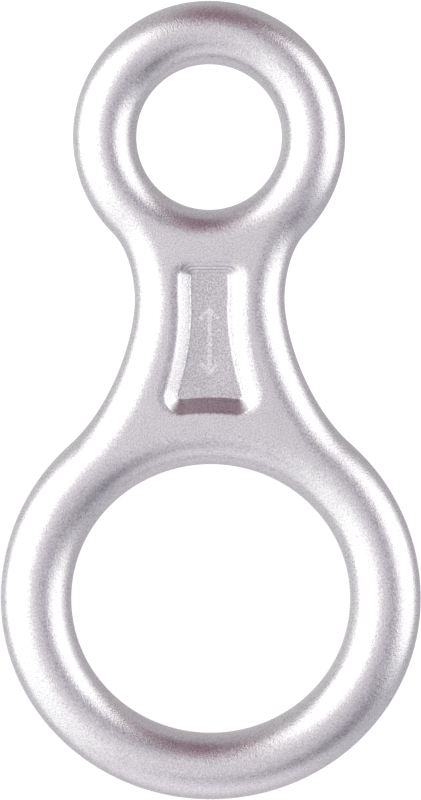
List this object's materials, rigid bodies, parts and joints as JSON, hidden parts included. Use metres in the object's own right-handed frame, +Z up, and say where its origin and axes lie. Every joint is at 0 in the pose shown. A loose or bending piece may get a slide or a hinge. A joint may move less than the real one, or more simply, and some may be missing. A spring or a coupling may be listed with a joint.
{
  "type": "belay device",
  "caption": "Figure-eight descender in satin forged aluminium: a small round eye for a carabiner, a recessed waist and a large oval eye that a rope wraps through.",
  "frame": {"origin": "centre of the small eye, in the middle of the thickness, where the carabiner that holds the device up passes through", "axes": "+Z up along the long axis, with the large eye below the origin; Y through the thickness, with the front face toward -Y; +X to the right seen from the front"},
  "size_m": [0.0768, 0.0114, 0.146],
  "materials": {
    "aluminium": "satin bead-blasted bare aluminium, light silver, fine even grain"
  },
  "bodies": {
    "root": {"descender_body": "aluminium"}
  },
  "joints": []
}
